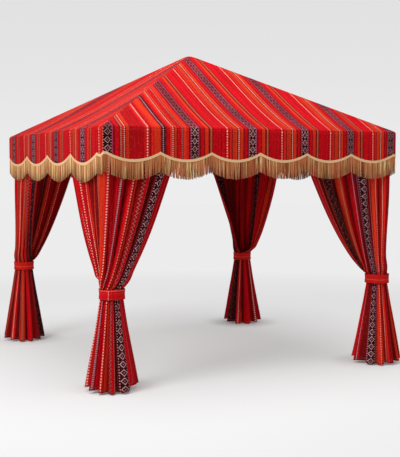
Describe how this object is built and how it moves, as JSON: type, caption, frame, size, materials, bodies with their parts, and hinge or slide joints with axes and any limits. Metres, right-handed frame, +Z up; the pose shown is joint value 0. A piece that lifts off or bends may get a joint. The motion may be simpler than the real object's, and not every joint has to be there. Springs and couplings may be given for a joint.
{
  "type": "majlis tent",
  "caption": "Square open-sided majlis tent with a pyramid canopy, scalloped fringed valances and striped curtains tied round the corner posts.",
  "frame": {"origin": "on the ground at the centre of the square plan", "axes": "+Z up; -Y is the front, the picture's long right-hand face; -X is the picture's short left-hand face"},
  "size_m": [3.234, 3.234, 3.0462],
  "materials": {
    "striped_cloth": "woven wool-look cloth in red, orange and maroon warp stripes with black diamond bands",
    "tie_cloth": "plain red woven band with a light stitched line",
    "braid": "flat tan braid sewn along the scalloped edge",
    "fringe": "close gold and tan thread fringe",
    "steel_tube": "galvanised tube",
    "casting": "sand-cast, left dull"
  },
  "bodies": {
    "root": {"apex_hub": "casting", "hip_rafter_front_left": "steel_tube", "hip_rafter_front_right": "steel_tube", "hip_rafter_back_right": "steel_tube", "hip_rafter_back_left": "steel_tube", "eave_beam_front": "steel_tube", "eave_beam_right": "steel_tube", "eave_beam_back": "steel_tube", "eave_beam_left": "steel_tube", "corner_bracket_front_left": "casting", "corner_bracket_front_right": "casting", "corner_bracket_back_right": "casting", "corner_bracket_back_left": "casting", "post_front_left": "steel_tube", "post_front_right": "steel_tube", "post_back_right": "steel_tube", "post_back_left": "steel_tube", "foot_plate_front_left": "steel_tube", "foot_plate_front_right": "steel_tube", "foot_plate_back_right": "steel_tube", "foot_plate_back_left": "steel_tube", "roof_panel_front": "striped_cloth", "roof_panel_right": "striped_cloth", "roof_panel_back": "striped_cloth", "roof_panel_left": "striped_cloth", "valance_front": "striped_cloth", "valance_right": "striped_cloth", "valance_back": "striped_cloth", "valance_left": "striped_cloth", "braid_front": "braid", "braid_right": "braid", "braid_back": "braid", "braid_left": "braid", "fringe_front": "fringe", "fringe_right": "fringe", "fringe_back": "fringe", "fringe_left": "fringe", "curtain_front_left": "striped_cloth", "curtain_front_right": "striped_cloth", "curtain_back_right": "striped_cloth", "curtain_back_left": "striped_cloth", "tieback_front_left": "tie_cloth", "tieback_front_right": "tie_cloth", "tieback_back_right": "tie_cloth", "tieback_back_left": "tie_cloth", "post_sleeve_front_left": "striped_cloth", "post_sleeve_front_right": "striped_cloth", "post_sleeve_back_right": "striped_cloth", "post_sleeve_back_left": "striped_cloth"}
  },
  "joints": []
}
